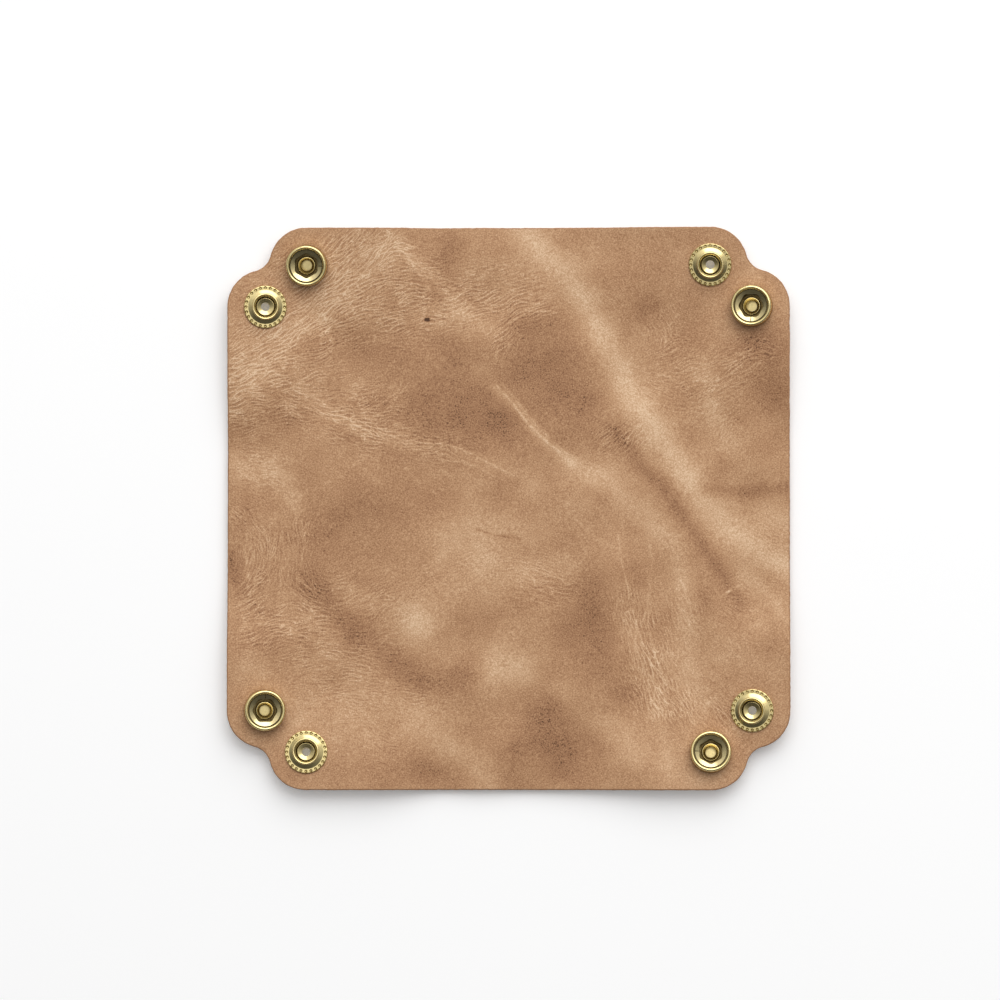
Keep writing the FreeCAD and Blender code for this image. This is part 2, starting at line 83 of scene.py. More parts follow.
def makeCamera():
    data = bpy.data.cameras.new("camera")
    data.sensor_width = camera["sensorWidth"]
    viewWidth = photo["frameSide"] * photo["metresPerPixel"]
    data.lens = camera["sensorWidth"] * camera["distance"] / viewWidth
    data.clip_end = camera["farthest"]
    back = Vector((math.tan(math.radians(camera["leanRight"])),
                   -math.tan(math.radians(camera["leanDown"])), 1)).normalized()
    right = Vector((0, 1, 0)).cross(back).normalized()
    up = back.cross(right)
    aim = Vector((*fromPixel(*photo["frameMiddle"]), camera["aimHeight"]))
    place = Matrix((right, up, back)).transposed().to_4x4()
    place.translation = aim + back * camera["distance"]
    eye = bpy.data.objects.new("camera", data)
    eye.matrix_world = place
    scene.collection.objects.link(eye)
    scene.camera = eye


# Nodes of a finish

def newFinish(name):
    finish = bpy.data.materials.new(name)
    finish.use_nodes = True
    finish.node_tree.nodes.clear()
    return finish


def addNode(finish, kind, **settings):
    node = finish.node_tree.nodes.new(kind)
    for name, setting in settings.items():
        setattr(node, name, setting)
    return node


# Sets a node's sockets to numbers, or links them to other nodes
def feed(finish, node, sockets):
    for name, given in sockets.items():
        if isinstance(given, (int, float)):
            node.inputs[name].default_value = given
        else:
            finish.node_tree.links.new(given, node.inputs[name])


def endFinish(finish, shader):
    output = addNode(finish, "ShaderNodeOutputMaterial")
    feed(finish, output, {"Surface": shader.outputs[0]})
    return finish


# Ends a finish with its shader and a bump
def endSurface(finish, relief, depth, sockets, strength=1):
    bump = addNode(finish, "ShaderNodeBump")
    feed(finish, bump, {"Height": relief, "Distance": depth, "Strength": strength})
    shader = addNode(finish, "ShaderNodeBsdfPrincipled")
    feed(finish, shader, {**sockets, "Normal": bump.outputs["Normal"]})
    return endFinish(finish, shader)


def mathNode(finish, operation, *fed):
    node = addNode(finish, "ShaderNodeMath", operation=operation)
    feed(finish, node, dict(enumerate(fed)))
    return node.outputs[0]


def rampNode(finish, fed, stops):
    ramp = addNode(finish, "ShaderNodeValToRGB")
    elements = ramp.color_ramp.elements
    while len(elements) < len(stops):
        elements.new(.5)
    for element, (place, colour) in zip(elements, stops):
        element.position = place
        element.color = colour
    feed(finish, ramp, {"Fac": fed})
    return ramp.outputs["Color"]


def noiseNode(finish, place, scale, detail=2.0, roughness=.5):
    noise = addNode(finish, "ShaderNodeTexNoise")
    feed(finish, noise, {"Vector": place, "Scale": scale, "Detail": detail, "Roughness": roughness})
    return noise.outputs["Fac"]


def attributeNode(finish, name, output="Fac"):
    return addNode(finish, "ShaderNodeAttribute", attribute_name=name).outputs[output]


# A soft step from nothing to strength, between two levels of what is fed in
def spanNode(finish, fed, low, high, strength):
    span = addNode(finish, "ShaderNodeMapRange", interpolation_type="SMOOTHSTEP")
    feed(finish, span, {"Value": fed, "From Min": low, "From Max": high, "To Max": strength})
    return span.outputs["Result"]


def linear(red, green, blue):
    def one(level):
        level /= 255
        return level / 12.92 if level <= .04045 else ((level + .055) / 1.055) ** 2.4
    return one(red), one(green), one(blue), 1


studio = {
    "skyDark": 0.09,                # strength of the sky away from skyMiddle
    "skyGlow": 1.36,                # added towards skyMiddle
    "skyMiddle": (0.08, 0.64, 0.76),
    "skyFocus": 2,                  # a higher power narrows the glow
    "panelPlace": (0.26, 0.92, 1.0),
    "panelSide": 1.4,
    "panelWatts": 10.8,
    "tableSide": 12.0,
    "tableGap": 0.0001,
    "tableColour": (0.9, 0.9, 0.9),
    "tableLift": 0.16,
}


def makeSky():
    world = bpy.data.worlds.new("softSky")
    scene.world = world
    world.use_nodes = True
    facing = addNode(world, "ShaderNodeVectorMath", operation="DOT_PRODUCT")
    facing.inputs[1].default_value = Vector(studio["skyMiddle"]).normalized()
    feed(world, facing, {0: addNode(world, "ShaderNodeTexCoord").outputs["Generated"]})
    towards = mathNode(world, "MAXIMUM", facing.outputs["Value"], 0)
    glow = mathNode(world, "POWER", towards, studio["skyFocus"])
    sky = world.node_tree.nodes["Background"]
    sky.inputs["Color"].default_value = (1, 1, 1, 1)
    strength = mathNode(world, "MULTIPLY_ADD", glow, studio["skyGlow"], studio["skyDark"])
    feed(world, sky, {"Strength": strength})


def makeStudio():
    makeSky()
    lamp = bpy.data.lights.new("softPanel", "AREA")
    lamp.shape = "SQUARE"
    lamp.size = studio["panelSide"]
    lamp.energy = studio["panelWatts"]
    panel = bpy.data.objects.new("softPanel", lamp)
    panel.location = studio["panelPlace"]
    panel.rotation_euler = Vector(studio["panelPlace"]).to_track_quat("Z", "Y").to_euler()
    scene.collection.objects.link(panel)
    bpy.ops.object.select_all(action="DESELECT")
    bpy.ops.mesh.primitive_plane_add(size=studio["tableSide"], location=(0, 0, -studio["tableGap"]))
    table = bpy.context.object
    table.name = "table"
    table.data.materials.append(makeTableFinish())


# The table glows a little where it is looked at, and keeps the tray's shadow
def makeTableFinish():
    finish = newFinish("paleTable")
    paint = addNode(finish, "ShaderNodeBsdfDiffuse")
    paint.inputs["Color"].default_value = (*studio["tableColour"], 1)
    rays = addNode(finish, "ShaderNodeLightPath").outputs
    seen = mathNode(finish, "MAXIMUM", rays["Is Camera Ray"], rays["Is Glossy Ray"])
    seen = mathNode(finish, "MAXIMUM", seen, rays["Is Transmission Ray"])
    glow = addNode(finish, "ShaderNodeEmission")
    feed(finish, glow, {"Strength": mathNode(finish, "MULTIPLY", seen, studio["tableLift"])})
    both = addNode(finish, "ShaderNodeAddShader")
    feed(finish, both, {0: paint.outputs[0], 1: glow.outputs[0]})
    return endFinish(finish, both)


makeCamera()
makeStudio()
print("camera, light and table ready")


# The leather's fold lines, read from the frame

sides = ["north", "east", "south", "west"]
joints = {joint["name"]: joint for joint in frame["joints"]}
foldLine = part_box("leather_floor")[1].y
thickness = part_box("leather_floor")[1].z
turnAxis = Vector(joints["turn_north_east"]["axis"])
slant = math.asin(turnAxis.x)
lift = math.atan2(turnAxis.z, turnAxis.y)
earFoot = joints["turn_north_east"]["pos_m"][0]
foldInset = (foldLine - joints["bend_north_east"]["pos_m"][0]) / math.sqrt(2)
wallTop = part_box("wall_north")[1].y - thickness * math.sin(lift)
outerEdge = foldLine + (wallTop - foldLine) / math.cos(lift)

leather = {
    "notchInset": 0.0119,       # bottom of a corner notch from both straight edges
    "notchRadius": 0.0069,
    "lobeRadius": 0.0117,       # rounded end of a straight edge
    "edgeRound": 0.0004,        # rounding of the cut edge
    "edgeRows": 4,              # rows of faces in that rounding
    "seamStep": 0.00042,        # spacing of points along outline and folds
    "fineStep": 0.0003,         # spacing of points where the leather is creased
    "underStep": 0.0017,
    "bendStep": (0.0005, 0.0045),   # the underside's spacing where it bends, and how far from a fold
    "thinning": (.2, .12),      # creases and scratches weaker than these get fewer points
    "fillRoom": (.6, .45, .5),  # room from filling points to the outline, the folds and the holes, in steps
    "fillJitter": .16,
    "fillSeed": 7,
    "edgeSeed": 9,
    "tolerance": 1e-9,
    "holeRadius": 0.0023,
    "holePoints": 40,
    "holeShare": .995,          # share of the hole's radius that its straight-sided ring keeps clear
    "raggedness": .12,          # unevenness of the cut edge's rounding
    "snapPlace": (0.06375, 0.077),   # middle of a snap along its wall, and out from the tray's middle
    "foldSoftness": 0.004,      # half width of the soft rise at a fold line
    "cornerSoftness": 0.0016,
    "middleRise": 0.13,         # share of the corners' rise that the middle of a wall keeps
    "middleSpan": (0.016, 0.051),
    "swell": 0.00016,           # gentle unevenness away from the snaps
    "snapClear": (0.0095, 0.022),
    "pressed": (0.0066, 0.0076),    # smooth leather under a snap ends between these
    "pressLip": (0.00007, 0.0078, 0.0012),  # leather standing up round a snap: height, place, half width
    "wallBend": 0.0034,         # width of the bend beside a fold line
    "earBend": 0.0042,
}
inset = outerEdge - leather["edgeRound"]
notchMiddle = outerEdge - leather["notchInset"] + leather["notchRadius"] / math.sqrt(2)
notchReach = leather["notchRadius"] + leather["edgeRound"]
lobeReach = leather["lobeRadius"] - leather["edgeRound"]
lobeSide = outerEdge - leather["lobeRadius"]
curveSpan = leather["lobeRadius"] + leather["notchRadius"]
lobeAlong = notchMiddle - math.sqrt(curveSpan ** 2 - (lobeSide - notchMiddle) ** 2)
joinAngle = math.atan2(notchMiddle - lobeSide, notchMiddle - lobeAlong)
print(f"leather reaches {outerEdge:.4f} m, its walls rise {math.degrees(lift):.2f} degrees")

# Marks of the leather in the photograph: pixel x, pixel y, then degrees that the creases run,
# reach in pixels and strength
creaseMarks = [
    (283, 258, 35, 14, .5), (252, 285, 20, 13, .45), (292, 292, 45, 14, .6), (244, 330, 30, 14, .6),
    (350, 250, 53, 20, .9), (380, 250, 47, 18, .9), (330, 293, 45, 24, 1), (300, 325, 42, 22, 1),
    (275, 349, 38, 22, 1), (247, 372, 27, 20, .9), (235, 395, 14, 16, .7), (366, 300, 9, 24, .7),
    (333, 328, 14, 20, .75), (405, 300, 4, 24, .6), (440, 295, 8, 22, .55), (405, 320, 9, 20, .5),
    (445, 308, 14, 20, .45), (402, 252, -47, 12, .55), (420, 270, -45, 12, .45), (300, 380, -10, 18, .6),
    (270, 388, 2, 18, .7), (300, 405, -22, 18, .75), (342, 420, -27, 18, .8), (378, 433, -24, 16, .7),
    (420, 443, -12, 16, .55), (452, 447, -8, 16, .45), (238, 410, 17, 14, .7), (385, 405, 33, 20, .5),
    (352, 392, 20, 18, .4), (250, 448, 3, 18, .35), (262, 476, -15, 16, .4), (238, 516, -22, 12, .5),
    (258, 528, -55, 12, .55), (270, 548, 88, 13, .6), (266, 574, 72, 12, .55), (252, 590, 48, 12, .5),
    (246, 550, 85, 12, .55), (300, 530, 80, 14, .45), (305, 575, -70, 14, .45), (312, 605, -52, 14, .45),
    (247, 602, 10, 14, .45), (271, 620, 12, 16, .5), (318, 612, -24, 14, .4), (345, 588, 28, 18, .4),
    (375, 602, 25, 18, .35), (400, 587, 30, 16, .3), (255, 640, 20, 20, .5), (300, 640, 16, 18, .5),
    (332, 650, 5, 16, .45), (365, 654, -25, 16, .4), (318, 678, 5, 18, .5), (360, 690, -4, 18, .45),
    (410, 692, 0, 18, .45), (450, 690, 10, 14, .35), (389, 634, 45, 14, .3), (436, 572, 12, 16, .25),
    (480, 562, 12, 18, .3), (471, 664, 60, 12, .3), (342, 735, -5, 22, .25), (389, 748, -30, 16, .25),
    (493, 289, 8, 22, .5), (527, 289, 22, 18, .45), (473, 300, 10, 16, .4), (500, 340, 72, 13, .5),
    (514, 317, 45, 12, .55), (540, 309, 3, 13, .5), (668, 366, 10, 18, .45), (662, 338, 75, 12, .4),
    (671, 320, -40, 12, .35), (705, 386, 15, 18, .5), (730, 370, 25, 18, .5), (752, 356, 35, 16, .45),
    (768, 345, -40, 12, .3), (616, 432, 40, 14, .5), (630, 440, 55, 12, .4), (605, 445, 33, 12, .4),
    (728, 425, 65, 18, .25), (643, 625, -76, 20, .5), (633, 603, 88, 16, .4), (653, 664, -66, 20, .55),
    (665, 699, -67, 20, .55), (645, 685, -70, 18, .4), (686, 612, -70, 18, .4), (678, 714, -60, 16, .5),
    (720, 708, -42, 14, .6), (740, 614, -25, 16, .3), (734, 587, 38, 10, .4), (534, 571, -8, 18, .35),
    (567, 582, -15, 18, .35), (545, 590, -20, 16, .3), (534, 716, 10, 18, .2), (738, 740, 45, 12, .35),
    (600, 300, -52, 20, .25), (650, 410, -55, 22, .25), (770, 540, -25, 20, .3), (580, 520, -30, 20, .2),
]
# Broad pale and dark runs: path, half width in pixels, tone
toneRuns = [
    ([(522, 226), (557, 263), (585, 303), (613, 353), (634, 399), (655, 430), (677, 464), (702, 499), (730, 530),
      (766, 556), (792, 568)], 13, .85),
    ([(616, 428), (641, 466), (666, 491), (691, 528), (716, 566), (741, 603)], 7, -.6),
    ([(494, 388), (522, 413), (547, 444), (572, 463)], 4.5, .55),
    ([(572, 463), (603, 478), (628, 503), (653, 522), (675, 553), (684, 591), (687, 641), (689, 691)], 10, .5),
    ([(235, 385), (285, 341), (335, 285), (378, 253)], 19, .42),
    ([(391, 235), (430, 275), (460, 305), (491, 335)], 6, .38),
    ([(303, 578), (341, 616), (385, 653), (428, 685), (466, 678)], 13, -.62),
    ([(422, 716), (450, 745), (478, 768), (491, 790)], 11, .4),
    ([(745, 574), (766, 591), (788, 620)], 7, .5),
    ([(628, 616), (640, 660), (655, 705), (668, 760)], 7, .32),
    ([(706, 488), (745, 493), (788, 489)], 6, -.55),
    ([(232, 424), (270, 420), (300, 424)], 10, -.4),
    ([(297, 385), (347, 422), (403, 445), (460, 452), (516, 472)], 6, .28),
    ([(262, 455), (282, 480), (296, 505)], 10, .4),
    ([(705, 385), (714, 410), (730, 445)], 9, .4),
    ([(560, 690), (600, 722), (640, 755), (700, 786)], 12, .35),
    ([(590, 590), (600, 640), (618, 690)], 16, -.45),
    ([(228, 555), (238, 590)], 9, -.7),
]
# Pale and dark patches: pixel x, pixel y, half width, half height, tone
tonePatches = [
    (453, 410, 56, 34, -.75), (500, 432, 24, 20, -.4), (540, 350, 30, 40, -.65), (575, 405, 22, 36, -.6),
    (405, 352, 60, 18, -.3), (345, 345, 40, 16, -.22), (360, 522, 60, 42, -.3), (325, 528, 22, 20, -.3),
    (578, 628, 26, 34, -.45), (553, 745, 42, 36, -.75), (547, 708, 22, 18, -.35), (416, 774, 48, 14, -.5),
    (772, 385, 18, 34, -.65), (753, 345, 24, 14, -.5), (641, 297, 22, 26, -.35), (690, 330, 16, 18, -.25),
    (253, 647, 28, 13, -.4), (441, 253, 20, 26, -.45), (410, 500, 40, 20, -.2), (703, 597, 13, 16, -.4),
    (640, 575, 26, 16, -.2), (475, 620, 22, 14, -.3), (245, 500, 12, 14, -.3), (300, 770, 30, 12, -.25),
    (416, 619, 19, 19, .95), (507, 667, 25, 19, .75), (478, 552, 34, 28, .6), (457, 527, 24, 14, .25),
    (516, 278, 18, 16, .3), (640, 408, 14, 18, .3), (775, 520, 22, 13, .55), (616, 735, 22, 16, .25),
    (341, 712, 66, 26, .3), (250, 472, 22, 16, .35), (238, 664, 16, 12, .3), (700, 690, 20, 30, .2),
    (735, 640, 26, 20, .15), (545, 570, 24, 12, .25), (590, 480, 24, 10, .25), (250, 350, 18, 26, .2),
]
# Single creases, scratches and a dark fleck: path, half width in pixels, paleness, height in metres
scratches = [
    ([(497, 386), (512, 402), (528, 424), (545, 440), (560, 452)], 1.2, .55, .00004),
    ([(502, 384), (520, 405), (536, 425), (552, 440), (568, 455)], 1.0, .45, .00003),
    ([(395, 240), (412, 262), (430, 290)], 1.2, .3, .00002),
    ([(494, 362), (505, 326), (527, 310), (556, 312)], 1.2, .4, .00003),
    ([(724, 594), (742, 584)], 1.1, .7, .00003),
    ([(664, 352), (666, 330), (676, 316)], 1.0, .4, .00002),
    ([(300, 520), (303, 545), (300, 570)], 1.1, .4, .00002),
    ([(387, 434), (410, 442), (433, 443), (450, 446), (470, 453), (487, 462), (514, 476)], .9, .5, .00003),
    ([(439, 460), (464, 462), (479, 468), (494, 476), (507, 483)], .9, .38, .00002),
    ([(304, 407), (318, 410), (334, 419), (349, 422), (366, 431), (378, 436)], .9, .45, .00003),
    ([(311, 394), (329, 408), (344, 417), (360, 427)], .9, .4, .00002),
    ([(361, 414), (375, 408), (387, 399), (398, 391), (402, 381)], .9, .42, .00002),
    ([(367, 419), (386, 411), (395, 399), (407, 385)], .9, .36, .00002),
    ([(402, 465), (418, 482), (433, 491), (445, 505)], 1.1, .26, .00001),
    ([(298, 497), (320, 486), (341, 476)], 1.2, .26, .00001),
    ([(476, 529), (494, 535), (520, 539)], 1.2, -.5, -.00002),
    ([(618, 533), (620, 555), (628, 589), (637, 629), (648, 659), (655, 680), (665, 700), (672, 722)],
     .9, .4, .00003),
    ([(648, 537), (652, 561), (648, 592), (645, 618), (654, 650), (663, 685)], .9, .34, .00002),
    ([(680, 580), (689, 594), (691, 611), (689, 626)], 1.0, .3, .00001),
    ([(245, 553), (247, 568), (248, 582), (245, 590)], .9, .42, .00002),
    ([(287, 586), (299, 599), (311, 610), (327, 619)], .9, .34, .00002),
    ([(426, 319), (428, 319)], 1.4, -4.5, -.00004),
]
drawing = {
    "cell": 0.0002,          # size of a cell of the leather's drawing
    "halfSpan": 0.0906,
    "flowSpread": 1.6,       # how far a mark's direction carries, in its own reaches
    "flowWander": (0.009, .16),     # size and strength of its wavering
    "markGain": .92,
    "creases": {     # width of two creases, their straight run, degrees off the flow, share of the height
        "strand": (0.0022, 0.014, 6, 1.0),
        "cross": (0.0031, 0.013, -11, .8),
        "hair": (0.0013, 0.006, 0, .3),
    },
    "slopeFloor": .45,              # share of its mean below which a crease's slope isn't trusted
    "crestWidth": 0.00032,
    "creaseGain": 1.5,
    "patches": (0.011, .3),         # size and depth of calmer patches among the creases
    "patchLevels": (-.9, .9),
    "crestHeight": 0.00005,
    "grainWidth": 0.0009,
    "grainHeight": 0.000006,
    "mottle": [(0.016, .08), (0.006, .035), (0.0024, .035), (0.0011, .05)],   # size and strength
    "toneSoftness": 1.4,
    "darkest": -.95,
    "scratchWander": (0.004, .4),
    "swellWidth": 0.03,
    "swellSpread": .5,
    "mottleSpread": .6,
    "seed": 31,
    "draws": {"flow": 1, "grain": 4, "patches": 5, "swell": 6, "mottle": 10, "scratches": 20, "creases": 30},
}
farAway = 1.0    # metres, more than any distance on the leather
gridSide = int(round(2 * drawing["halfSpan"] / drawing["cell"]))
gridLine = (np.arange(gridSide) + .5) * drawing["cell"] - drawing["halfSpan"]
gridX, gridY = np.meshgrid(gridLine, gridLine)
pixel = photo["metresPerPixel"]


# Random waves of about one length; draw names the use, and place tells its layers apart
def bandNoise(draw, wavelength, spread=.45, place=0):
    seed = drawing["seed"] + drawing["draws"][draw] + place
    white = np.random.default_rng(seed).standard_normal((gridSide, gridSide))
    pitch = np.fft.fftfreq(gridSide, drawing["cell"])
    around, across = np.meshgrid(pitch, pitch)
    band = np.exp(-((np.hypot(around, across) * wavelength - 1) / spread) ** 2)
    noise = np.fft.ifft2(np.fft.fft2(white) * band).real
    return noise / noise.std()


def smoothStep(low, high, amount):
    share = np.clip((amount - low) / (high - low), 0, 1)
    return share * share * (3 - 2 * share)


def distanceToPath(path):
    nearest = np.full(gridX.shape, farAway)
    points = [fromPixel(*point) for point in path]
    for (startX, startY), (endX, endY) in zip(points, points[1:]):
        runX, runY = endX - startX, endY - startY
        share = ((gridX - startX) * runX + (gridY - startY) * runY) / (runX ** 2 + runY ** 2)
        share = np.clip(share, 0, 1)
        nearest = np.minimum(nearest, np.hypot(gridX - startX - share * runX, gridY - startY - share * runY))
    return nearest


def creaseFlow():
    doubleX, doubleY = np.full(gridX.shape, 1e-6), np.zeros(gridX.shape)
    calm = np.ones(gridX.shape)
    for pixelX, pixelY, degrees, reach, strength in creaseMarks:
        markX, markY = fromPixel(pixelX, pixelY)
        away = ((gridX - markX) ** 2 + (gridY - markY) ** 2) / (reach * pixel) ** 2
        pull = np.exp(-away / 2 / drawing["flowSpread"] ** 2)
        doubleX += pull * math.cos(2 * math.radians(degrees))
        doubleY += pull * math.sin(2 * math.radians(degrees))
        calm *= 1 - drawing["markGain"] * strength * np.exp(-away / 2)
    wanderSize, wander = drawing["flowWander"]
    angle = np.arctan2(doubleY, doubleX) / 2 + wander * bandNoise("flow", wanderSize)
    return np.cos(angle), np.sin(angle), 1 - calm


# Smears noise along the creases' direction, so that it turns into strands
def comb(noise, flowX, flowY, reach):
    steps = int(reach / drawing["cell"] / 2)
    rows, columns = np.indices(noise.shape)
    total, weights = noise.copy(), 1.0
    for way in (1, -1):
        atRow, atColumn = rows.astype(float), columns.astype(float)
        headX, headY = way * flowX, way * flowY
        for step in range(1, steps + 1):
            atRow = np.clip(atRow + headY, 0, gridSide - 1)
            atColumn = np.clip(atColumn + headX, 0, gridSide - 1)
            row, column = np.rint(atRow).astype(int), np.rint(atColumn).astype(int)
            weight = .5 + .5 * math.cos(math.pi * step / (steps + 1))
            total += weight * noise[row, column]
            weights += weight
            nextX, nextY = flowX[row, column], flowY[row, column]
            turn = np.where(nextX * headX + nextY * headY < 0, -1, 1)
            headX, headY = nextX * turn, nextY * turn
    total /= weights
    return total / total.std()


# A crease stands where the combed noise changes sign; this gives the distance from it
def distanceToCrease(noise):
    slope = np.hypot(*np.gradient(noise, drawing["cell"]))
    return noise / np.maximum(slope, drawing["slopeFloor"] * slope.mean())


def drawLeather():
    flowX, flowY, creased = creaseFlow()
    patchSize, patchDepth = drawing["patches"]
    calmer = patchDepth * smoothStep(*drawing["patchLevels"], bandNoise("patches", patchSize))
    creased = np.minimum(creased * drawing["creaseGain"] * (1 - calmer), 1)
    layers = {"creased": creased}
    height = np.zeros(gridX.shape)
    for place, (name, (width, length, degrees, share)) in enumerate(drawing["creases"].items()):
        turn = math.radians(degrees)
        turnedX = flowX * math.cos(turn) - flowY * math.sin(turn)
        turnedY = flowX * math.sin(turn) + flowY * math.cos(turn)
        strands = comb(bandNoise("creases", width, place=place), turnedX, turnedY, length)
        layers[name] = distanceToCrease(strands)
        crest = np.exp(-(layers[name] / drawing["crestWidth"]) ** 2)
        height += share * drawing["crestHeight"] * creased * crest
    height += drawing["grainHeight"] * bandNoise("grain", drawing["grainWidth"], drawing["mottleSpread"])
    tone = np.zeros(gridX.shape)
    for path, halfWidth, strength in toneRuns:
        away = (distanceToPath(path) / (halfWidth * pixel)) ** 2
        tone += strength * np.exp(-away / drawing["toneSoftness"])
    for pixelX, pixelY, halfWidth, halfHeight, strength in tonePatches:
        markX, markY = fromPixel(pixelX, pixelY)
        away = ((gridX - markX) / (halfWidth * pixel)) ** 2 + ((gridY - markY) / (halfHeight * pixel)) ** 2
        tone += strength * np.exp(-away / drawing["toneSoftness"])
    for place, (size, strength) in enumerate(drawing["mottle"]):
        tone += strength * bandNoise("mottle", size, drawing["mottleSpread"], place)
    tone = np.maximum(tone, drawing["darkest"])
    line = np.zeros(gridX.shape)
    wanderSize, wanderDepth = drawing["scratchWander"]
    wander = np.maximum(1 + wanderDepth * bandNoise("scratches", wanderSize), 0)
    for path, halfWidth, paleness, rise in scratches:
        stroke = np.exp(-(distanceToPath(path) / (halfWidth * pixel)) ** 2) * wander
        line += paleness * stroke
        height += rise * stroke
    swell = bandNoise("swell", drawing["swellWidth"], drawing["swellSpread"])
    return {**layers, "tone": tone, "line": line, "height": height, "swell": swell}


leatherDrawing = drawLeather()
print(f"leather drawn on {gridSide} cells a side")


# Value of the drawing at flat points of the leather
def readDrawing(name, flat):
    layer = leatherDrawing[name]
    place = np.clip((flat + drawing["halfSpan"]) / drawing["cell"] - .5, 0, gridSide - 1.001)
    column, row = place[:, 0].astype(int), place[:, 1].astype(int)
    shareX, shareY = place[:, 0] - column, place[:, 1] - row
    low = layer[row, column] * (1 - shareX) + layer[row, column + 1] * shareX
    high = layer[row + 1, column] * (1 - shareX) + layer[row + 1, column + 1] * shareX
    return low * (1 - shareY) + high * shareY


# The leather's eight alike corners folded onto one: place along the wall, and out from the middle
def alongAndOut(flat):
    size = np.abs(flat)
    return size.min(1), size.max(1)


def insideOutline(flat):
    along, out = alongAndOut(flat)
    fromNotch = np.hypot(along - notchMiddle, out - notchMiddle) - notchReach
    lobeX, lobeY = along - lobeAlong, out - lobeSide
    angle = np.arctan2(lobeY, lobeX)
    inLobe = (angle > joinAngle) & (lobeX > 0)
    fromLobe = np.where(inLobe, lobeReach - np.hypot(lobeX, lobeY), farAway)
    return np.minimum(np.minimum(inset - out, fromNotch), fromLobe)


def fromHole(flat):
    along, out = alongAndOut(flat)
    return np.hypot(along - leather["snapPlace"][0], out - leather["snapPlace"][1])


def fromHinge(flat):
    along, out = alongAndOut(flat)
    return (along - earFoot) * math.cos(slant) - (out - foldLine) * math.sin(slant)


def fromDiagonal(flat):
    along, out = alongAndOut(flat)
    return (out - along) / math.sqrt(2)


def fromSeams(flat):
    out = alongAndOut(flat)[1]
    diagonal = fromDiagonal(flat)
    corner = np.minimum(np.minimum(np.abs(fromHinge(flat)), np.abs(diagonal - foldInset)), diagonal)
    return np.minimum(np.abs(out - foldLine), np.where(out > foldLine, corner, farAway))


def inBend(flat):
    return (alongAndOut(flat)[1] > foldLine) & (fromSeams(flat) < leather["bendStep"][1])


def countOf(length):
    return max(1, int(round(length / leather["seamStep"])))


def lineRun(start, end):
    count = countOf(math.dist(start, end))
    shares = np.arange(count) / count
    return np.outer(1 - shares, start) + np.outer(shares, end)


# One half corner of the cut outline, from the middle of the north edge to the diagonal:
# points, outward directions and the places where the folds reach the edge
def halfOutline():
    hingeTop = earFoot + (inset - foldLine) * math.tan(slant)
    runs = [lineRun((0, inset), (hingeTop, inset)), lineRun((hingeTop, inset), (lobeAlong, inset))]
    directions = [np.tile((0.0, 1.0), (len(run), 1)) for run in runs]
    hingeMark = len(runs[0])
    count = countOf(lobeReach * (math.pi / 2 - joinAngle))
    angle = math.pi / 2 + (joinAngle - math.pi / 2) * np.arange(count) / count
    directions.append(np.stack([np.cos(angle), np.sin(angle)], 1))
    runs.append(np.array([lobeAlong, lobeSide]) + lobeReach * directions[-1])
    foldTurn = math.asin(foldInset / notchReach)
    for first, last, closing in ((math.pi / 4 - joinAngle, foldTurn, 0), (foldTurn, 0, 1)):
        count = countOf(notchReach * (first - last))
        angle = math.pi / 4 - (first + (last - first) * np.arange(count + closing) / count)
        directions.append(np.stack([np.cos(angle), np.sin(angle)], 1))
        runs.append(notchMiddle - notchReach * directions[-1])
    foldMark = sum(len(run) for run in runs[:4])
    return np.concatenate(runs), np.concatenate(directions), hingeMark, foldMark


def halfFloor():
    foldFoot = foldLine - math.sqrt(2) * foldInset
    runs = [lineRun((0, foldLine), (earFoot, foldLine)), lineRun((earFoot, foldLine), (foldFoot, foldLine)),
            lineRun((foldFoot, foldLine), (foldLine, foldLine)), np.array([[foldLine, foldLine]])]
    return np.concatenate(runs), len(runs[0]), len(runs[0]) + len(runs[1])


def turnedBy(points, side):
    quarter = math.radians(-90 * side)
    turn = np.array([[math.cos(quarter), math.sin(quarter)], [-math.sin(quarter), math.cos(quarter)]])
    return points @ turn.round(12)


# A half corner mirrored at the diagonal and turned to all four corners
def roundTray(half):
    corner = np.concatenate([half, half[-2:0:-1, ::-1]])
    return np.concatenate([turnedBy(corner, side) for side in range(4)])


def chain(indices, closed=False):
    pairs = list(zip(indices, indices[1:]))
    return pairs + [(indices[-1], indices[0])] if closed else pairs


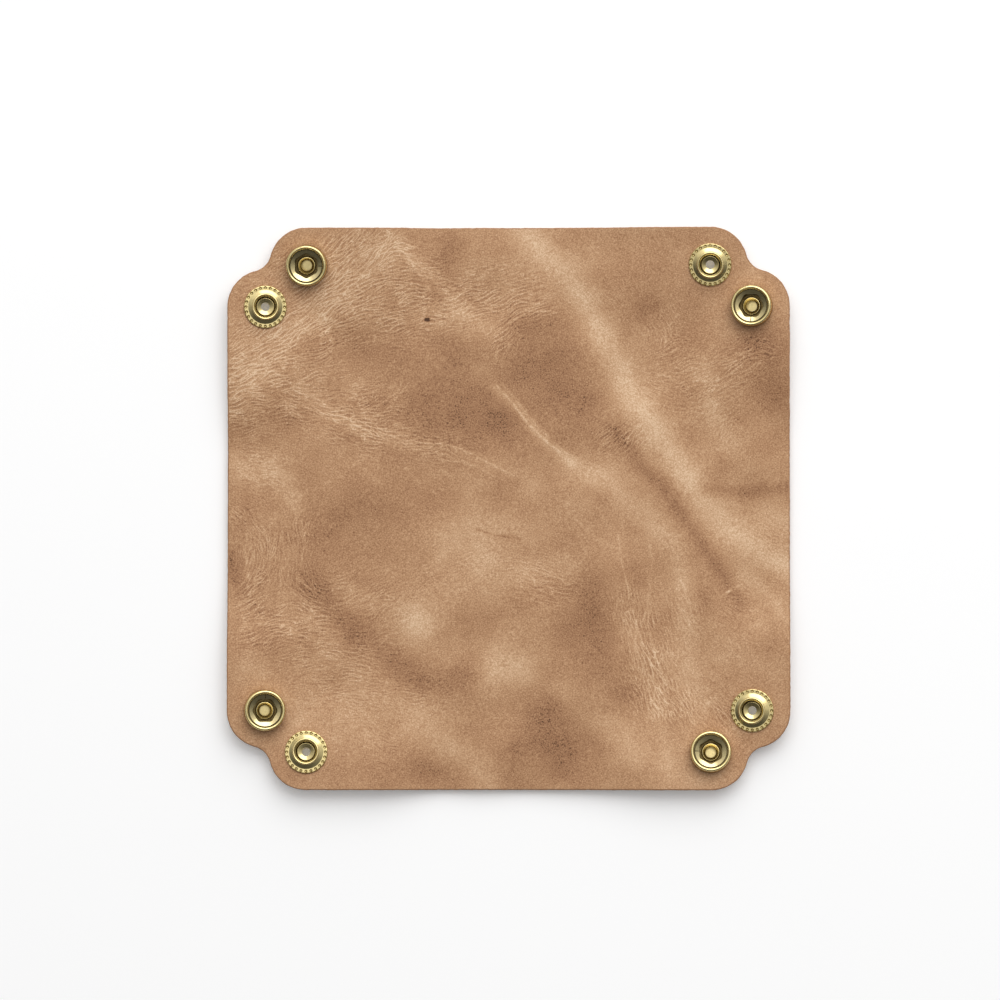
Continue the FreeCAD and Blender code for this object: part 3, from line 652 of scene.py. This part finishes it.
# Points that the grain side and the underside share: outline, fold lines and snap holes
def makeSeamPoints():
    outlineHalf, directionHalf, hingeMark, foldMark = halfOutline()
    floorHalf, floorHinge, floorFold = halfFloor()
    outline, directions, floorLoop = (roundTray(half) for half in (outlineHalf, directionHalf, floorHalf))
    points = [outline, floorLoop]
    edges = chain(list(range(len(outline))), True)
    edges += chain(list(range(len(outline), len(outline) + len(floorLoop))), True)
    total = len(outline) + len(floorLoop)
    outQuarter, floorQuarter = len(outline) // 4, len(floorLoop) // 4
    for side in range(4):
        for outMark, floorMark in ((hingeMark, floorHinge), (foldMark, floorFold),
                                   (len(outlineHalf) - 1, len(floorHalf) - 1),
                                   (outQuarter - foldMark, floorQuarter - floorFold),
                                   (outQuarter - hingeMark, floorQuarter - floorHinge)):
            start = floorQuarter * side + floorMark
            end = outQuarter * side + outMark
            run = lineRun(floorLoop[start], outline[end])[1:]
            points.append(run)
            edges += chain([len(outline) + start, *range(total, total + len(run)), end])
            total += len(run)
    holes = []
    around = np.arange(leather["holePoints"]) * math.tau / leather["holePoints"]
    ring = leather["holeRadius"] * np.stack([np.cos(around), np.sin(around)], 1)
    for side in range(4):
        for hand in (1, -1):
            middle = np.array([hand * leather["snapPlace"][0], leather["snapPlace"][1]])
            points.append(turnedBy(ring + middle, side))
            holes.append(range(total, total + len(ring)))
            edges += chain(list(holes[-1]), True)
            total += len(ring)
    return np.concatenate(points), edges, outline, directions, holes


def fillPoints(step, fineOnly):
    columns = int(2 * outerEdge / step) + 2
    rows = int(2 * outerEdge / (step * math.sqrt(3) / 2)) + 2
    row, column = np.indices((rows, columns))
    flat = np.stack([(column + .5 * (row % 2)) * step, row * step * math.sqrt(3) / 2], -1) - outerEdge
    flat, row, column = flat.reshape(-1, 2), row.ravel(), column.ravel()
    jitter = leather["fillJitter"] * step
    flat = flat + np.random.default_rng(leather["fillSeed"]).uniform(-jitter, jitter, flat.shape)
    edgeRoom, foldRoom, holeRoom = (share * step for share in leather["fillRoom"])
    keep = (insideOutline(flat) > edgeRoom) & (fromSeams(flat) > foldRoom)
    keep &= fromHole(flat) > leather["holeRadius"] + holeRoom
    if fineOnly:   # full count only where there are creases
        creaseLimit, lineLimit = leather["thinning"]
        plain = (readDrawing("creased", flat) < creaseLimit) & (np.abs(readDrawing("line", flat)) < lineLimit)
        keep &= ~plain | ((row % 2 == 0) & (column % 2 == 0))
    return flat[keep]


def triangulate(points, edges):
    places = [Vector(point) for point in points.tolist()]
    made = delaunay_2d_cdt(places, edges, [], 0, leather["tolerance"], False)
    if len(made[0]) != len(points):
        raise RuntimeError("the leather's points changed while they were joined up")
    faces = np.array(made[2], int)
    middle = points[faces].mean(1)
    inHole = fromHole(middle) < leather["holeRadius"] * leather["holeShare"]
    faces = faces[(insideOutline(middle) > -leather["tolerance"]) & ~inHole]
    corner = points[faces]
    side, other = corner[:, 1] - corner[:, 0], corner[:, 2] - corner[:, 0]
    backwards = side[:, 0] * other[:, 1] - side[:, 1] * other[:, 0] < 0
    faces[backwards] = faces[backwards][:, ::-1]
    return faces


# Number of the panel that flat points lie in: 0 the floor, then five panels for each side
def panelOf(flat):
    out = alongAndOut(flat)[1]
    upright = np.abs(flat[:, 1]) >= np.abs(flat[:, 0])
    side = np.where(upright, np.where(flat[:, 1] > 0, 0, 2), np.where(flat[:, 0] > 0, 1, 3))
    local = np.choose(side, [flat[:, 0], -flat[:, 1], -flat[:, 0], flat[:, 1]])
    kind = np.where(fromHinge(flat) < 0, 0, np.where(fromDiagonal(flat) > foldInset, 1, 2))
    kind = np.where((kind > 0) & (local < 0), kind + 2, kind)
    return np.where(out < foldLine, 0, 1 + 5 * side + kind)


def plainHeight(flat):
    along, out = alongAndOut(flat)
    soft = leather["cornerSoftness"]
    out = out + np.clip(soft - (out - along), 0, None) ** 2 / (4 * soft)
    beyond, soft = out - foldLine, leather["foldSoftness"]
    ramp = np.where(beyond > soft, beyond, np.clip(beyond + soft, 0, None) ** 2 / (4 * soft))
    low = leather["middleRise"]
    share = low + (1 - low) * smoothStep(*leather["middleSpan"], along)
    fromSnap = fromHole(flat)
    uneven = leather["swell"] * readDrawing("swell", flat) * smoothStep(*leather["snapClear"], fromSnap)
    return thickness + math.sin(lift) * ramp * share + uneven


def grainHeight(flat):
    fromSnap = fromHole(flat)
    shown = smoothStep(*leather["pressed"], fromSnap)
    rise, place, halfWidth = leather["pressLip"]
    lip = rise * np.exp(-((fromSnap - place) / halfWidth) ** 2)
    return plainHeight(flat) + shown * lip + shown * readDrawing("height", flat)


def underHeight(flat):
    return np.maximum(plainHeight(flat) - thickness, 0)


# Flat points to their places on the open tray, whose walls are a little shorter from above
def restPlaces(flat, height):
    size = np.abs(flat)
    drawnIn = np.where(size > foldLine, foldLine + (size - foldLine) * math.cos(lift), size)
    return np.column_stack([np.sign(flat) * drawnIn, height])


def faceNormals(places, faces):
    side, other = places[faces[:, 1]] - places[faces[:, 0]], places[faces[:, 2]] - places[faces[:, 0]]
    return np.cross(side, other)


def unit(vectors):
    return vectors / np.maximum(np.linalg.norm(vectors, axis=1, keepdims=True), 1e-15)


# The whole blank: grain side, rounded cut edge, underside and hole walls, before it is parted into panels
def makeBlank():
    shared, edges, outline, directions, holes = makeSeamPoints()
    top = np.concatenate([shared, fillPoints(leather["fineStep"], True)])
    coarse, fine = fillPoints(leather["underStep"], False), fillPoints(leather["bendStep"][0], False)
    under = np.concatenate([shared, coarse[~inBend(coarse)], fine[inBend(fine)]])
    topFaces, underFaces = triangulate(top, edges), triangulate(under, edges)
    rounding, rows = leather["edgeRound"], leather["edgeRows"]
    unevenness = np.random.default_rng(leather["edgeSeed"]).standard_normal(len(outline))
    ragged = 1 + leather["raggedness"] * unevenness
    ragged = (ragged + np.roll(ragged, 1) + np.roll(ragged, -1)) / 3
    edgeTop, edgeUnder = grainHeight(outline), underHeight(outline)
    ringFlat, ringHeight = [], []
    turns = np.arange(1, rows + 1) / rows * math.pi / 2
    for edge, way, order in ((edgeTop, -1, turns), (edgeUnder, 1, turns[::-1])):
        for turn in order:
            ringFlat.append(outline + directions * (rounding * math.sin(turn) * ragged)[:, None])
            ringHeight.append(edge + way * rounding * (1 - math.cos(turn)))
    flat = np.concatenate([top, under, *ringFlat])
    height = np.concatenate([grainHeight(top), underHeight(under), *ringHeight])
    count, outlineCount = len(top), len(outline)
    ringStart = count + len(under)
    index = np.arange(outlineCount)
    following = np.roll(index, -1)
    rowStarts = [0, *(ringStart + outlineCount * np.arange(2 * rows)), count]
    edgeFaces = []
    for upper, lower in zip(rowStarts, rowStarts[1:]):   # the outline runs clockwise
        edgeFaces.append(np.stack([upper + index, upper + following, lower + following], 1))
        edgeFaces.append(np.stack([upper + index, lower + following, lower + index], 1))
    holeFaces = []
    for hole in holes:
        ring = np.array(hole)
        after = np.roll(ring, -1)
        holeFaces.append(np.stack([after, ring, ring + count], 1)[:, ::-1])
        holeFaces.append(np.stack([after, ring + count, after + count], 1)[:, ::-1])
    groups = [topFaces, count + underFaces[:, ::-1], np.concatenate(edgeFaces), np.concatenate(holeFaces)]
    faces = np.concatenate(groups)
    finish = np.concatenate([np.full(len(group), number) for group, number in zip(groups, (0, 1, 2, 2))])
    places = restPlaces(flat, height)
    normals = np.zeros_like(places)
    for corner in range(3):
        np.add.at(normals, faces[:, corner], faceNormals(places, faces))
    ringMiddle = np.tile(np.arange(outlineCount), 2 * rows)
    return {"flat": flat, "places": places, "faces": faces, "finish": finish, "normals": unit(normals),
            "topCount": count, "ringStart": ringStart, "ringMiddle": ringMiddle,
            "panel": panelOf(flat[faces].mean(1))}


# Closes a panel where it was parted from its neighbours
def seamFaces(faces, blank):
    pairs = np.concatenate([faces[:, [0, 1]], faces[:, [1, 2]], faces[:, [2, 0]]])
    size = len(blank["places"])
    key, back = pairs[:, 0] * size + pairs[:, 1], pairs[:, 1] * size + pairs[:, 0]
    loose = pairs[~np.isin(key, back)]
    count, ringStart = blank["topCount"], blank["ringStart"]
    onTop = loose[(loose < count).all(1)]
    start, end = onTop[:, 0], onTop[:, 1]
    made = [np.stack([end, start, start + count], 1), np.stack([end, start + count, end + count], 1)]
    onEdge = loose[(loose >= ringStart).any(1)]
    ring = np.where(onEdge >= ringStart, onEdge, -1).max(1)
    foot = blank["ringMiddle"][ring - ringStart] + count
    fan = np.stack([onEdge[:, 1], onEdge[:, 0], foot], 1)
    made.append(fan[(onEdge != foot[:, None]).all(1)])
    return np.concatenate(made)


def makePanel(name, number, blank, finishes):
    chosen = blank["panel"] == number
    faces, finish = blank["faces"][chosen], blank["finish"][chosen]
    closing = seamFaces(faces, blank)
    cornerNormals = blank["normals"][faces].reshape(-1, 3)
    flatNormals = np.repeat(unit(faceNormals(blank["places"], closing)), 3, axis=0)
    cornerNormals = np.concatenate([cornerNormals, flatNormals])
    faces = np.concatenate([faces, closing])
    finish = np.concatenate([finish, np.full(len(closing), 2)])
    used, faces = np.unique(faces, return_inverse=True)
    faces = faces.reshape(-1, 3)
    places, flat = blank["places"][used], blank["flat"][used]
    mesh = bpy.data.meshes.new(name)
    mesh.vertices.add(len(places))
    mesh.vertices.foreach_set("co", places.astype(np.float32).ravel())
    mesh.loops.add(faces.size)
    mesh.loops.foreach_set("vertex_index", faces.astype(np.int32).ravel())
    mesh.polygons.add(len(faces))
    mesh.polygons.foreach_set("loop_start", np.arange(0, faces.size, 3, dtype=np.int32))
    mesh.polygons.foreach_set("material_index", finish.astype(np.int32))
    mesh.polygons.foreach_set("use_smooth", np.ones(len(faces), bool))
    mesh.update(calc_edges=True)
    if mesh.validate():
        raise RuntimeError(f"{name} has faulty faces")
    mesh.normals_split_custom_set(cornerNormals.tolist())
    for layer in ("tone", "strand", "cross", "hair", "creased", "line"):
        attribute = mesh.attributes.new(layer, "FLOAT", "POINT")
        attribute.data.foreach_set("value", readDrawing(layer, flat).astype(np.float32))
    attribute = mesh.attributes.new("flatPlace", "FLOAT_VECTOR", "POINT")
    attribute.data.foreach_set("vector", np.column_stack([flat, places[:, 2]]).astype(np.float32).ravel())
    for finishMade in finishes:
        mesh.materials.append(finishMade)
    panel = bpy.data.objects.new(name, mesh)
    scene.collection.objects.link(panel)
    return panel


grainSide = {
    "stops": [(0, linear(84, 56, 38)), (.03, linear(142, 100, 70)), (.25, linear(165, 122, 88)),
              (.5, linear(190, 147, 109)), (.75, linear(212, 173, 136)), (1, linear(233, 201, 166))],
    "plainShade": .5,
    "toneShare": .37,
    "strandLine": (.00015, .46),    # half width of a crease's pale crest, and its paleness
    "crossLine": (.00014, .38),
    "hairLine": (.00016, .2),
    "hairCalm": .3,                # share of the finer creases in calm leather
    "shadedValley": (.00018, .0006, -.16),     # painted shade: darker leather this far from every crease, in the hollows between crests
    "wobble": (1500, .0004),        # noise scale and depth of the creases' raggedness
    "fading": (200, .34, .52),       # noise scale and levels at which creases fade out and are whole
    "linePaleness": .4,
    "fineScale": 2200,              # noise features per metre
    "fineDetail": (2, .6),
    "fineStrength": 1.1,
    "poreScale": 1500,
    "poreWidth": .16,
    "poreDarkness": -.14,
    "poreRelief": 1.2,
    "roughness": (.5, .68),
    "specular": .22,
    "bumpStrength": .25,
    "bumpDepth": .00006,
}


def makeGrainSide():
    finish = newFinish("leatherGrain")
    place = attributeNode(finish, "flatPlace", "Vector")
    creased = attributeNode(finish, "creased")
    scale, depth = grainSide["wobble"]
    ragged = mathNode(finish, "SUBTRACT", noiseNode(finish, place, scale, 1), .5)
    away = {}
    for name in ("strand", "cross", "hair"):
        near = mathNode(finish, "MULTIPLY_ADD", ragged, depth, attributeNode(finish, name))
        away[name] = mathNode(finish, "ABSOLUTE", near)
    crests = {}
    for name, distance in away.items():
        width, paleness = grainSide[name + "Line"]
        crests[name] = spanNode(finish, distance, width, 0, paleness)
    lines = mathNode(finish, "MAXIMUM", crests["strand"], crests["cross"])
    scale, low, high = grainSide["fading"]
    shown = spanNode(finish, noiseNode(finish, place, scale, 1), low, high, 1)
    lines = mathNode(finish, "MULTIPLY", lines, shown)
    # between the pale crests the leather is darkened as painted shade in the creases' hollows
    shadedValley = mathNode(finish, "MINIMUM", away["strand"], away["cross"])
    folds = mathNode(finish, "ADD", lines, spanNode(finish, shadedValley, *grainSide["shadedValley"]))
    shade = mathNode(finish, "MULTIPLY_ADD", attributeNode(finish, "tone"), grainSide["toneShare"],
                     grainSide["plainShade"])
    shade = mathNode(finish, "MULTIPLY_ADD", folds, creased, shade)
    hairShare = mathNode(finish, "MULTIPLY_ADD", creased, 1 - grainSide["hairCalm"], grainSide["hairCalm"])
    shade = mathNode(finish, "MULTIPLY_ADD", crests["hair"], hairShare, shade)
    shade = mathNode(finish, "MULTIPLY_ADD", attributeNode(finish, "line"), grainSide["linePaleness"], shade)
    fine = noiseNode(finish, place, grainSide["fineScale"], *grainSide["fineDetail"])
    speck = mathNode(finish, "SUBTRACT", fine, .5)
    shade = mathNode(finish, "MULTIPLY_ADD", speck, grainSide["fineStrength"], shade)
    pores = addNode(finish, "ShaderNodeTexVoronoi", feature="DISTANCE_TO_EDGE")
    feed(finish, pores, {"Vector": place, "Scale": grainSide["poreScale"]})
    groove = spanNode(finish, pores.outputs["Distance"], grainSide["poreWidth"], 0, grainSide["poreDarkness"])
    shade = mathNode(finish, "ADD", shade, groove)
    relief = mathNode(finish, "MULTIPLY_ADD", pores.outputs["Distance"], grainSide["poreRelief"], fine)
    low, high = grainSide["roughness"]
    return endSurface(finish, relief, grainSide["bumpDepth"], {
        "Base Color": rampNode(finish, shade, grainSide["stops"]),
        "Roughness": mathNode(finish, "MULTIPLY_ADD", fine, high - low, low),
        "Specular IOR Level": grainSide["specular"],
    }, grainSide["bumpStrength"])


rawLeather = {   # the brushed underside and the cut edge: colours, noise scale, roughness, bump depth
    "leatherUnderside": [(.25, linear(176, 136, 100)), (.75, linear(206, 170, 134)), 900, .9, .00005],
    "leatherEdge": [(.3, linear(150, 108, 76)), (.7, linear(186, 143, 106)), 1800, .75, .00005],
}
rawFibres = {"detail": (6, .7), "specular": .2}


def makeRawLeather(name):
    dark, pale, scale, roughness, depth = rawLeather[name]
    finish = newFinish(name)
    fibres = noiseNode(finish, attributeNode(finish, "flatPlace", "Vector"), scale, *rawFibres["detail"])
    return endSurface(finish, fibres, depth, {
        "Base Color": rampNode(finish, fibres, [dark, pale]),
        "Roughness": roughness,
        "Specular IOR Level": rawFibres["specular"],
    })


def capitalised(name):
    return "".join(word.capitalize() for word in name.split("_"))


# Points of a side's own frame turned to that side
def atSide(x, y, z, side):
    turned = turnedBy(np.array([[x, y]]), side)[0]
    return Vector((turned[0], turned[1], z))


def makeLeather():
    blank = makeBlank()
    print(f"blank of {len(blank['faces'])} faces")
    finishes = [makeGrainSide(), makeRawLeather("leatherUnderside"), makeRawLeather("leatherEdge")]
    floor = makePanel("leatherFloor", 0, blank, finishes)
    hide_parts("leather_floor")
    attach(floor, "floor")
    panels = [floor]
    for side, name in enumerate(sides):
        wallName = f"wall_{name}"
        wall = makePanel("leather" + capitalised(wallName), 1 + 5 * side, blank, finishes)
        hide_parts(wallName)
        reach = leather["wallBend"]
        end = atSide(0, foldLine + reach * math.cos(lift), thickness + reach * math.sin(lift), side)
        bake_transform(wall)
        panels.append(wall)
        for kind, end in ((1, sides[(side + 1) % 4]), (3, sides[side - 1])):
            earName, foldName = f"ear_{name}_{end}", f"corner_fold_{name}_{end}"
            ear = makePanel("leather" + capitalised(earName), 1 + 5 * side + kind, blank, finishes)
            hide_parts(earName)
            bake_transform(ear)
            fold = makePanel("leather" + capitalised(foldName), 2 + 5 * side + kind, blank, finishes)
            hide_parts(foldName)
            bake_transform(fold)
            panels += [ear, fold]
    return panels


leatherPanels = makeLeather()
largest = max(len(panel.data.polygons) for panel in leatherPanels)
print(f"{len(leatherPanels)} leather panels ready, the largest of {largest} faces")


# Brass of the snaps, darkened where metal stands close to metal: partly patina in the hollows, partly painted
# shade in the deep recesses and where the brass meets the leather
brass = {   # finish: its nodes, colour, roughness, noise scale, bump depth, and the reach and openness of its patina and painted shade
    "snapBrass": [["stud", "eyelet", "cap_shell"], (.82, .67, .32), (.12, .26), 900, .000005,
                  .0011, (.3, .82)],
    "postBrass": [["cap_post"], (.8, .65, .31), (.14, .28), 900, .000005, .0011, (.15, .7)],
    "socketBrass": [["socket_shell", "socket_cup"], (.82, .67, .32), (.12, .26), 900, .000005,
                    .003, (.45, .9)],
    "springBrass": [["spring_ring"], (.8, .66, .34), (.14, .28), 1600, .000006, .0012, (.3, .85)],
}
patinaAndShade = {
    # colour of the patina and of the painted shade in hollows and at contact
    "tint": (.1, .07, .03),
    "dullness": .25,            # added roughness
    "samples": 12,
    "hazeDetail": (5, .6),
    "haze": [.3, .65, .82],     # noise levels of hazy and clear brass, and the hazy brass's darkening
}


def makeBrass(name):
    _, colour, (low, high), scale, depth, reach, (hidden, bare) = brass[name]
    finish = newFinish(name)
    place = addNode(finish, "ShaderNodeTexCoord").outputs["Object"]
    haze = noiseNode(finish, place, scale, *patinaAndShade["hazeDetail"])
    hazy, clear, darkening = patinaAndShade["haze"]
    hazyColour = (*(level * darkening for level in colour), 1)
    clean = rampNode(finish, haze, [(hazy, hazyColour), (clear, (*colour, 1))])
    # ambient occlusion darkens hidden brass: partly patina, partly painted shade in recesses
    nookShade = addNode(finish, "ShaderNodeAmbientOcclusion", samples=patinaAndShade["samples"])
    feed(finish, nookShade, {"Distance": reach})
    tint = rampNode(finish, nookShade.outputs["AO"], [(hidden, (*patinaAndShade["tint"], 1)), (bare, (1, 1, 1, 1))])
    agedAndShaded = addNode(finish, "ShaderNodeVectorMath", operation="MULTIPLY")
    feed(finish, agedAndShaded, {0: clean, 1: tint})
    rough = mathNode(finish, "MULTIPLY_ADD", haze, high - low, low)
    dull = spanNode(finish, nookShade.outputs["AO"], bare, hidden, patinaAndShade["dullness"])
    rough = mathNode(finish, "ADD", rough, dull)
    return endSurface(finish, haze, depth, {"Base Color": agedAndShaded.outputs[0], "Roughness": rough, "Metallic": 1})


def dressSnaps():
    for finishName, (kinds, *_) in brass.items():
        finish = makeBrass(finishName)
        for nodeName, node in frame["nodes"].items():
            if any(nodeName.startswith(kind + "_") for kind in kinds):
                for slot in node.material_slots:
                    slot.material = finish


dressSnaps()
print("snaps dressed")
